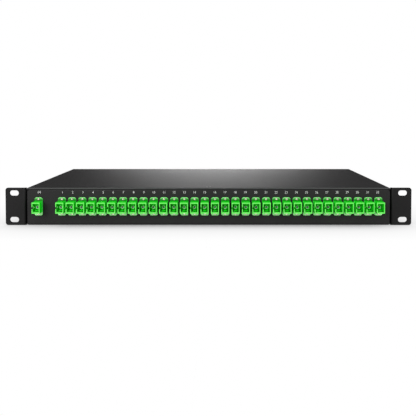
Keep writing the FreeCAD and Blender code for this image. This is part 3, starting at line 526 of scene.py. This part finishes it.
def plain_finish(name, dark, light, roughness, grain, depth, metallic=0.0, below=None):
    """A finish whose colour and roughness drift over the surface, with a fine grain.

    below is the colour below the height of the sockets' axis, where it differs; there it is a painted
    reflection of the floor.
    """
    material, tree, shader, place = new_material(name)
    drift = noise(tree, place, grain * DRIFT_SHARE, detail=4.0)
    colour = two_tones(tree, drift, (dark, light))
    if below is not None:
        colour = blend_colour(tree, by_height(tree, place, LOWER_HALF), colour, below)
    tree.links.new(colour, shader.inputs["Base Color"])
    gloss = noise(tree, place, grain * GLOSS_SHARE)
    tree.links.new(spread(tree, gloss, roughness - GLOSS_SWING, roughness + GLOSS_SWING),
                   shader.inputs["Roughness"])
    shader.inputs["Metallic"].default_value = metallic
    bump(tree, shader, noise(tree, place, grain, detail=2.0), depth)
    return material


def in_crease(tree, place):
    """1 at the seams between ears and case, on the front bends alone, where shade is painted, and 0 away
    from them.
    """
    apart = axis_of(tree, place, "X")
    for operation, value in (("ABSOLUTE", 0.0), ("SUBTRACT", CREASE_PLACE), ("ABSOLUTE", 0.0)):
        step = tree.nodes.new("ShaderNodeMath")
        step.operation = operation
        tree.links.new(apart, step.inputs[0])
        step.inputs[1].default_value = value
        apart = step.outputs[0]
    near = rise_of(tree, apart, CREASE_WIDTH, CREASE_WIDTH / 2)
    return product(tree, [near, by_depth(tree, place, CREASE_BAND)])


def powder_coat(name, shade=1.0, painted_edge_highlight=False, shade_in_creases=False):
    """Matt black powder coat: a fine orange peel over a faint, slow change of colour and gloss.

    A lighter grey on the cut edge over the panel face is a painted highlight. The bends where ears and
    case meet are painted nearly black, as painted shade, and a shade factor below 1 darkens the whole coat
    as painted shade.
    """
    material, tree, shader, place = new_material(name)
    drift = noise(tree, place, COAT_DRIFT, detail=5.0)
    colour = two_tones(tree, drift, [tuple(shade * value for value in tone) for tone in COAT_TONES])
    if painted_edge_highlight:
        colour = blend_colour(tree, by_depth(tree, place, EDGE_HIGHLIGHT_BAND), colour, EDGE_HIGHLIGHT_GREY)
    if shade_in_creases:
        colour = blend_colour(tree, in_crease(tree, place), colour, CREASE_SHADE_BLACK)
    tree.links.new(colour, shader.inputs["Base Color"])
    tree.links.new(spread(tree, noise(tree, place, COAT_GLOSS_DRIFT), *COAT_ROUGHNESS),
                   shader.inputs["Roughness"])
    shader.inputs["Specular IOR Level"].default_value = COAT_SPECULAR
    peel = tree.nodes.new("ShaderNodeTexVoronoi")
    peel.feature = "SMOOTH_F1"
    peel.inputs["Scale"].default_value = PEEL_SCALE
    tree.links.new(place, peel.inputs["Vector"])
    bump(tree, shader, peel.outputs["Distance"], PEEL_DEPTH, PEEL_STRENGTH)
    return material


def in_socket_floor(tree, place, normal):
    """1 on the upward faces below the axis that are the floors and lower lead-ins of the sockets, where
    shade is painted.
    """
    upward = along(tree, normal, "Z", *UPWARD)
    return product(tree, [upward] + [by_height(tree, place, heights) for heights in FLOOR_HEIGHTS])


def housing_colour(tree, place, colour):
    """Paler on the front faces as a painted sheen, with painted highlights on the flange's rounded edges,
    a painted reflection of the floor on the lower flange, a painted sheen on the barrel sides near the
    flange, and painted shade on the floors of the sockets, under the flange's lower edge and where the
    flange meets the barrel's top."""
    normal = tree.nodes.new("ShaderNodeTexCoord").outputs["Normal"]
    near_panel = by_depth(tree, place, BARREL_SIDE_BAND)
    for sign in (-1, 1):
        sideways = along(tree, normal, "X", *(sign * value for value in SIDEWAYS))
        colour = blend_colour(tree, product(tree, [near_panel, sideways]), colour, SIDE_SHEEN_GREEN)
    face = blend_colour(tree, by_height(tree, place, FLANGE_FACE_HEIGHTS),
                        UPPER_FLANGE_SHEEN_GREEN, LOWER_FLANGE_SHEEN_GREEN)
    rim = blend_colour(tree, by_height(tree, place, FLANGE_RIM_HEIGHTS), UPPER_RIM_HIGHLIGHT_GREEN, LOWER_RIM_HIGHLIGHT_GREEN)
    flange = blend_colour(tree, along(tree, normal, "Y", *STRAIGHT_FORWARD), rim, face)
    flange = blend_colour(tree, by_height(tree, place, LOWER_EDGE_HEIGHTS), flange, LOWER_EDGE_SHADE_GREEN)
    corner = blend_colour(tree, by_height(tree, place, CORNER_HEIGHTS), CORNER_SHADE_GREEN, flange)
    flange = blend_colour(tree, by_height(tree, place, UPPER_HALF), flange, corner)
    front = blend_colour(tree, by_depth(tree, place, FLANGE_BAND), RIM_SHEEN_GREEN, flange)
    colour = blend_colour(tree, in_socket_floor(tree, place, normal), colour, FLOOR_SHADE_GREEN)
    return blend_colour(tree, along(tree, normal, "Y", *FORWARD), colour, front)


def holder_colour(tree, place, colour):
    """Lighter at the height of the centre tubes than on the latch arms above and below them."""
    core = product(tree, [by_height(tree, place, heights) for heights in CORE_HEIGHTS])
    return blend_colour(tree, core, colour, CORE_GREEN)


def green_plastic(name, specular, tones_and_painted_light):
    """Moulded plastic with a faint flow pattern and a fine spark-eroded grain.

    The function given turns the plain green into the colour of each part of the piece, with any painted
    sheen, highlights, reflection and shade.
    """
    material, tree, shader, place = new_material(name)
    drift = noise(tree, place, PLASTIC_DRIFT)
    lighter = tuple(LIGHTENING * value for value in PLAIN_GREEN)
    plain = two_tones(tree, drift, (PLAIN_GREEN, lighter), stops=(0.25, 0.75))
    tree.links.new(tones_and_painted_light(tree, place, plain), shader.inputs["Base Color"])
    tree.links.new(spread(tree, noise(tree, place, PLASTIC_GLOSS_DRIFT), *PLASTIC_ROUGHNESS),
                   shader.inputs["Roughness"])
    shader.inputs["Specular IOR Level"].default_value = specular
    bump(tree, shader, noise(tree, place, PLASTIC_GRAIN, detail=2.0), PLASTIC_GRAIN_DEPTH,
         PLASTIC_GRAIN_STRENGTH)
    return material


def give(node, material):
    """Dress a CAD node's own mesh with a material."""
    mesh = cad_nodes[node].data
    if not mesh.materials:
        mesh.materials.append(material)
    for index in range(len(mesh.materials)):
        mesh.materials[index] = material


def dress_sheet_metal(node, material):
    """Powder coat on a folded sheet, with the small roundness that the coat gives its edges."""
    give(node, material)
    piece = cad_nodes[node]
    weld = piece.modifiers.new("weld", "WELD")
    weld.merge_threshold = WELD_DISTANCE
    flat = piece.modifiers.new("flat", "DECIMATE")
    flat.decimate_type = "DISSOLVE"
    flat.angle_limit = math.radians(FLAT_ANGLE)
    edge = piece.modifiers.new("edge", "BEVEL")
    edge.width = SHEET_EDGE
    edge.segments = 2
    edge.limit_method = "ANGLE"
    edge.angle_limit = math.radians(SHEET_EDGE_ANGLE)
    edge.harden_normals = True


def lead_in_mesh():
    """What widens a socket's mouth at its top and bottom, carried on past both ends of its slope."""
    wide = SOCKET_HEIGHT / 2 + LEAD_IN * (1 + LEAD_IN_EXCESS)
    narrow = SOCKET_HEIGHT / 2 - LEAD_IN * LEAD_IN_EXCESS
    front = MOUTH - LEAD_IN_DEPTH * LEAD_IN_EXCESS
    back = MOUTH + LEAD_IN_DEPTH * (1 + LEAD_IN_EXCESS)
    return prism([(front, -wide), (front, wide), (back, narrow), (back, -narrow)],
                 -LEAD_IN_WIDTH / 2, LEAD_IN_WIDTH / 2, axis="X")


def housing_mesh():
    """An adapter housing: barrel, round-cornered flange, through socket and key slot."""
    barrel = prism(rectangle(HOUSING_WIDTH, HOUSING_HEIGHT), MOUTH, TAIL)
    flange = eased(prism(rounded(FLANGE_WIDTH, FLANGE_HEIGHT, FLANGE_CORNER), -FLANGE_THICKNESS, 0),
                   FLANGE_ROUNDING, segments=4)
    socket = prism(rectangle(SOCKET_WIDTH, SOCKET_HEIGHT), MOUTH - CUT_EXCESS, TAIL + CUT_EXCESS)
    keyway = prism(rectangle(HOUSING_WIDTH, KEYWAY_HEIGHT, (-HOUSING_WIDTH / 2, 0)),
                   MOUTH - CUT_EXCESS, MOUTH + KEYWAY_LENGTH)
    mesh = combined(barrel, [("UNION", flange), ("DIFFERENCE", socket), ("DIFFERENCE", keyway),
                             ("DIFFERENCE", lead_in_mesh())])
    return eased(mesh, HOUSING_EDGE, segments=3)


def latch_arm_mesh(half_height, sign):
    """The upper or lower latch arm: a wedge whose side is cut to a hooked tip."""
    root = MIDDLE - HOLDER_PLATE / 2 + LATCH_OVERLAP
    tip = MIDDLE - LATCH_REACH
    wide = LATCH_OUTER_WIDTH / 2
    narrow = LATCH_INNER_WIDTH / 2
    wedge = prism([(-wide, sign * half_height), (wide, sign * half_height),
                   (narrow, sign * LATCH_TIP), (-narrow, sign * LATCH_TIP)], tip, root)
    outer = half_height * (1 + LATCH_EXCESS)
    side = [(root, outer), (tip, outer), (tip, LATCH_TIP + LATCH_NOSE), (tip + LATCH_NOSE, LATCH_TIP),
            (tip + LATCH_HOOK, LATCH_TIP), (tip + LATCH_HOOK, LATCH_ROOT - LATCH_STEP), (root, LATCH_ROOT)]
    profile = prism([(y, sign * z) for y, z in side], -SOCKET_WIDTH, SOCKET_WIDTH, axis="X")
    return combined(wedge, [("INTERSECT", profile)])


def latch_holder_mesh():
    """The plate, the two latch arms and the centre tube inside a socket."""
    half_height = SOCKET_HEIGHT / 2 - HOLDER_GAP
    half_width = SOCKET_WIDTH / 2 - HOLDER_GAP
    plate = prism(rectangle(2 * half_width, 2 * half_height), MIDDLE - HOLDER_PLATE / 2,
                  MIDDLE + HOLDER_PLATE / 2)
    front = MIDDLE - TUBE_LENGTH / 2
    back = MIDDLE + TUBE_LENGTH / 2
    end_radius = TUBE_RADIUS - TUBE_CHAMFER
    tube = lathe([(0, front), (end_radius, front), (TUBE_RADIUS, front + TUBE_CHAMFER),
                  (TUBE_RADIUS, back - TUBE_CHAMFER), (end_radius, back), (0, back)], TURNED_SIDES)
    bore_radius = SLEEVE_RADIUS + SLEEVE_GAP
    bore = lathe([(0, front - CUT_EXCESS), (bore_radius, front - CUT_EXCESS),
                  (bore_radius, back + CUT_EXCESS), (0, back + CUT_EXCESS)], TURNED_SIDES)
    steps = [("UNION", latch_arm_mesh(half_height, sign)) for sign in (1, -1)]
    steps += [("UNION", tube), ("DIFFERENCE", bore)]
    return eased(combined(plate, steps), HOLDER_EDGE, angle=35)


def sleeve_mesh():
    """The alignment sleeve: a ceramic tube with a slit along it."""
    slit = math.asin(SLEEVE_SLIT / 2 / SLEEVE_BORE)
    front = MIDDLE - SLEEVE_LENGTH / 2
    angles = [slit + (2 * math.pi - 2 * slit) * step / TURNED_SIDES for step in range(TURNED_SIDES + 1)]
    outline = [(SLEEVE_RADIUS * math.cos(a), SLEEVE_RADIUS * math.sin(a)) for a in angles]
    outline += [(SLEEVE_BORE * math.cos(a), SLEEVE_BORE * math.sin(a)) for a in reversed(angles)]
    return eased(prism(outline, front, front + SLEEVE_LENGTH), SLEEVE_EDGE, angle=40)


def cross_recess(radius, depth, top):
    """The cross-shaped recess of a screw, cut from y = top down to depth behind it."""
    arm = radius * RECESS_ARM_SHARE
    slot = radius * RECESS_SLOT_SHARE
    outline = [(arm, slot), (slot, slot), (slot, arm), (-slot, arm), (-slot, slot), (-arm, slot),
               (-arm, -slot), (-slot, -slot), (-slot, -arm), (slot, -arm), (slot, -slot), (arm, -slot)]
    return prism(outline, top - depth, top + depth)


def pan_head_mesh(radius, head):
    """A pan-head screw that faces the front, seated at y = 0, with a cross recess."""
    dome = [(0, -head)]
    for step in range(1, HEAD_STEPS + 1):
        angle = math.radians(90 * step / HEAD_STEPS)
        rise = HEAD_RIM_SHARE + (1 - HEAD_RIM_SHARE) * math.cos(angle)
        dome.append((radius * math.sin(angle), -head * rise))
    dome += [(radius, 0), (0, 0)]
    recess = cross_recess(radius, head * RECESS_DEPTH_SHARE, -head)
    return eased(combined(lathe(dome, TURNED_SIDES), [("DIFFERENCE", recess)]), radius * HEAD_EDGE_SHARE)


def front_screw_mesh():
    """The countersunk screw at the front centre of the cover, with a cross recess."""
    radius = (screw_high.x - screw_low.x) / 2
    length = screw_high.z - screw_low.z
    cone_end = radius - FRONT_SCREW_SHANK + FRONT_SCREW_RIM
    turned = lathe([(0, 0), (radius - FRONT_SCREW_RIM, 0), (radius, FRONT_SCREW_RIM),
                    (FRONT_SCREW_SHANK, cone_end), (FRONT_SCREW_SHANK, length), (0, length)],
                   FRONT_SCREW_SIDES)
    recess = cross_recess(radius, FRONT_SCREW_RECESS, 0)
    return eased(combined(turned, [("DIFFERENCE", recess)]), FRONT_SCREW_EDGE)


def text_mesh(words):
    """Raised print of a word or number, lying in the XY plane about its own centre."""
    curve = bpy.data.curves.new(words, "FONT")
    curve.body = words
    curve.align_x = "CENTER"
    curve.size = 1.0
    curve.resolution_u = LETTER_STEPS
    curve.extrude = LETTER_HALF_DEPTH
    curve.offset = LABEL_THINNING
    text = bpy.data.objects.new(words, curve)
    bpy.context.scene.collection.objects.link(text)
    depsgraph = bpy.context.evaluated_depsgraph_get()
    mesh = bpy.data.meshes.new_from_object(text.evaluated_get(depsgraph))
    bpy.data.objects.remove(text)
    tall = max(vertex.co.y for vertex in mesh.vertices)
    wide = [vertex.co.x for vertex in mesh.vertices]
    centre = (min(wide) + max(wide)) / 2
    scale = LABEL_HEIGHT / tall
    mesh.transform(Matrix.Diagonal((scale * LABEL_NARROWING, scale, PRINT_THICKNESS, 1))
                   @ Matrix.Translation((-centre, -tall / 2, LETTER_HALF_DEPTH)))
    return mesh


def turned_about(axis, degrees):
    """A turn about one of the axes."""
    return Matrix.Rotation(math.radians(degrees), 4, axis)


def flange_screw_places(port_places):
    """Where the two screws of each flange sit, each with its recess turned in its own way."""
    places = []
    for index, port_place in enumerate(port_places):
        for sign in (-1, 1):
            turn = (FLANGE_SCREW_TURN + FLANGE_SCREW_TURN_PER_PORT * index
                    + FLANGE_SCREW_TURN_PER_END * sign)
            on_flange = Matrix.Translation((0, -FLANGE_THICKNESS, sign * FLANGE_SCREW_RISE))
            places.append(port_place @ on_flange @ turned_about("Y", turn))
    return places


def side_screw_places():
    """Where the screws of the ears and of the cover's side flanges sit, on both sides."""
    spots = [(tray_high.x + EAR_SHEET, PANEL + EAR_SCREW_SET, AXIS_HEIGHT + sign * EAR_SCREW_RISE)
             for sign in (-1, 1)]
    spots += [(cover_high.x, PANEL + set_back, cover_high.z - COVER_SCREW_DROP)
              for set_back in COVER_SCREW_SETS]
    return [Matrix.Translation((sign * x, y, z)) @ turned_about("Z", 90 * sign)
            @ turned_about("Y", CASE_SCREW_TURN * index)
            for sign in (-1, 1) for index, (x, y, z) in enumerate(spots)]


def label_meshes(port_places):
    """The number over each port. The printed row is slightly shorter than the row of ports."""
    labels = []
    for place, words in zip(port_places, PORT_LABELS):
        inward = -LABEL_ROW_SHRINK * place.translation.x
        above = place @ Matrix.Translation((inward, 0, LABEL_RISE))
        labels.append((text_mesh(words), above @ turned_about("X", 90)))
    return labels


def background_rays(tree):
    """1 for the rays that see the background itself, in the open, in gloss or through glass."""
    path = tree.nodes.new("ShaderNodeLightPath")
    seen = path.outputs["Is Camera Ray"]
    for name in ("Is Glossy Ray", "Is Transmission Ray"):
        either = tree.nodes.new("ShaderNodeMath")
        either.operation = "MAXIMUM"
        tree.links.new(seen, either.inputs[0])
        tree.links.new(path.outputs[name], either.inputs[1])
        seen = either.outputs[0]
    return seen


def mix_shaders(tree, factor, first, second, output):
    """The first shader where the factor is 0 and the second where it is 1, sent to an output."""
    mix = tree.nodes.new("ShaderNodeMixShader")
    tree.links.new(factor, mix.inputs["Fac"])
    tree.links.new(first, mix.inputs[1])
    tree.links.new(second, mix.inputs[2])
    tree.links.new(mix.outputs[0], output)


def shadowed_white(tree):
    """White with the soft shadow of what stands close above it."""
    cover = tree.nodes.new("ShaderNodeAmbientOcclusion")
    cover.samples = SHADOW_SAMPLES
    cover.inputs["Distance"].default_value = SHADOW_REACH
    depth = tree.nodes.new("ShaderNodeMath")
    depth.operation = "POWER"
    depth.inputs[1].default_value = SHADOW_DEPTH
    tree.links.new(cover.outputs["AO"], depth.inputs[0])
    white = tree.nodes.new("ShaderNodeEmission")
    tree.links.new(depth.outputs[0], white.inputs["Strength"])
    return white.outputs[0]


def set_floor():
    """A floor that the rays of the camera see as white, with the object's soft shadow on it."""
    bm = bmesh.new()
    bmesh.ops.create_grid(bm, x_segments=2, y_segments=2, size=FLOOR_REACH)
    floor = bpy.data.objects.new("floor", mesh_of(bm, "floor"))
    bpy.context.scene.collection.objects.link(floor)
    floor.location.z = cad_box[0].z - FLOOR_GAP
    material = bpy.data.materials.new("floor_finish")
    material.use_nodes = True
    tree = material.node_tree
    tree.nodes.clear()
    matt = tree.nodes.new("ShaderNodeBsdfDiffuse")
    matt.inputs["Color"].default_value = (FLOOR_BOUNCE, FLOOR_BOUNCE, FLOOR_BOUNCE, 1)
    output = tree.nodes.new("ShaderNodeOutputMaterial").inputs["Surface"]
    mix_shaders(tree, background_rays(tree), matt.outputs[0], shadowed_white(tree), output)
    floor.data.materials.append(material)


def set_world():
    """Soft light from all round, and a background that shows as white."""
    world = bpy.data.worlds.new("studio")
    world.use_nodes = True
    bpy.context.scene.world = world
    tree = world.node_tree
    lit = tree.nodes["Background"]
    shown = tree.nodes.new("ShaderNodeBackground")
    for node, strength in ((lit, WORLD_LIGHT), (shown, 1.0)):
        node.inputs["Color"].default_value = (1, 1, 1, 1)
        node.inputs["Strength"].default_value = strength
    output = tree.nodes["World Output"].inputs["Surface"]
    mix_shaders(tree, background_rays(tree), lit.outputs[0], shown.outputs[0], output)


def set_light_card():
    """A dark card behind the object with a soft bright patch, seen only in its gloss."""
    bm = bmesh.new()
    corners = [(-CARD_REACH, 0), (CARD_REACH, 0), (CARD_REACH, CARD_REACH), (-CARD_REACH, CARD_REACH)]
    bm.faces.new([bm.verts.new((x, CARD_PLACE, z)) for x, z in corners])
    card = bpy.data.objects.new("light_card", mesh_of(bm, "light_card"))
    bpy.context.scene.collection.objects.link(card)
    material, tree, shader, place = new_material("light_card_finish")
    tree.nodes.remove(shader)
    patch = tree.nodes.new("ShaderNodeMapping")
    patch.inputs["Scale"].default_value = (1 / PATCH_WIDTH, 0, 1 / PATCH_HEIGHT)
    patch.inputs["Location"].default_value = (-PATCH_X / PATCH_WIDTH, 0, -PATCH_Z / PATCH_HEIGHT)
    tree.links.new(place, patch.inputs["Vector"])
    fall = tree.nodes.new("ShaderNodeTexGradient")
    fall.gradient_type = "QUADRATIC_SPHERE"
    tree.links.new(patch.outputs["Vector"], fall.inputs["Vector"])
    glow = tree.nodes.new("ShaderNodeEmission")
    tree.links.new(spread(tree, fall.outputs["Fac"], CARD_DARK, CARD_BRIGHT), glow.inputs["Strength"])
    tree.links.new(glow.outputs[0], tree.nodes["Material Output"].inputs["Surface"])
    card.data.materials.append(material)
    card.visible_camera = False
    card.visible_diffuse = False
    card.visible_shadow = False


def set_lamp(name, place, size, power):
    """A rectangular lamp that points at the middle of the front."""
    data = bpy.data.lights.new(name, "AREA")
    data.energy = power
    data.shape = "RECTANGLE"
    data.size, data.size_y = size
    light = bpy.data.objects.new(name, data)
    bpy.context.scene.collection.objects.link(light)
    light.location = place
    light.rotation_euler = (Vector(LAMP_TARGET) - Vector(place)).to_track_quat("-Z", "Y").to_euler()
    light.visible_camera = False


def set_camera():
    """The camera that sees the object as the photograph does."""
    camera = bpy.data.objects.new("camera", bpy.data.cameras.new("camera"))
    bpy.context.scene.collection.objects.link(camera)
    camera.location = CAMERA_PLACE
    camera.rotation_euler = (math.radians(90 - CAMERA_PITCH), 0, 0)
    camera.data.lens = CAMERA_LENS
    camera.data.sensor_width = CAMERA_SENSOR
    camera.data.shift_x, camera.data.shift_y = CAMERA_SHIFT
    camera.data.clip_start = CAMERA_NEAR
    bpy.context.scene.camera = camera


# Finishes.
powder = powder_coat("black_powder_coat_finish", shade_in_creases=True)
ear_powder = powder_coat("ear_powder_coat_finish", EAR_PAINTED_SHADE, shade_in_creases=True)
cover_powder = powder_coat("cover_powder_coat_finish", painted_edge_highlight=True)
housing_green = green_plastic("housing_green_finish", HOUSING_SPECULAR, housing_colour)
holder_green = green_plastic("holder_green_finish", HOLDER_SPECULAR, holder_colour)
ceramic = plain_finish(*CERAMIC)
plated = plain_finish(*PLATED, below=LOWER_SCREW_REFLECTION_TONE)
black_screw = plain_finish(*BLACKENED)
ink = plain_finish(*INK)

# The CAD's own meshes: the case, and what it holds.
for node, material in (("chassis_tray", powder), ("left_rack_ear", ear_powder),
                       ("right_rack_ear", ear_powder), ("top_cover", cover_powder)):
    dress_sheet_metal(node, material)
for node, values in INNER_FINISHES.items():
    give(node, plain_finish(*values))

# Adapters.
housing = housing_mesh()
port_places = []
for port in PORTS:
    low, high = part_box(port)
    place = Matrix.Translation(((low.x + high.x) / 2, PANEL, AXIS_HEIGHT))
    port_places.append(place)
    new_piece(f"{port}_housing", joined(port, [(housing, place)]), housing_green,
              [port])
repeated("latch_holders", latch_holder_mesh(), port_places, holder_green,
         ["adapter_latch_holders"])
repeated("ceramic_sleeves", sleeve_mesh(), port_places, ceramic, ["alignment_sleeves"])

# Screws and print.
repeated("flange_screws", pan_head_mesh(FLANGE_SCREW_RADIUS, FLANGE_SCREW_HEAD),
         flange_screw_places(port_places), plated)
repeated("side_screws", pan_head_mesh(CASE_SCREW_RADIUS, CASE_SCREW_HEAD), side_screw_places(),
         black_screw)
new_piece("port_numbers", joined("port_numbers", label_meshes(port_places)), ink)
front_screw_place = Matrix.Translation(((screw_low.x + screw_high.x) / 2,
                                        (screw_low.y + screw_high.y) / 2, screw_high.z))
repeated("cover_front_screw", front_screw_mesh(), [front_screw_place @ turned_about("X", -90)],
         black_screw, ["cover_screw"])

# Studio and camera.
set_floor()
set_world()
set_light_card()
set_lamp("key", KEY_PLACE, KEY_SIZE, KEY_POWER)
set_lamp("fill", FILL_PLACE, FILL_SIZE, FILL_POWER)
set_camera()
bpy.context.scene.view_settings.view_transform = "Standard"
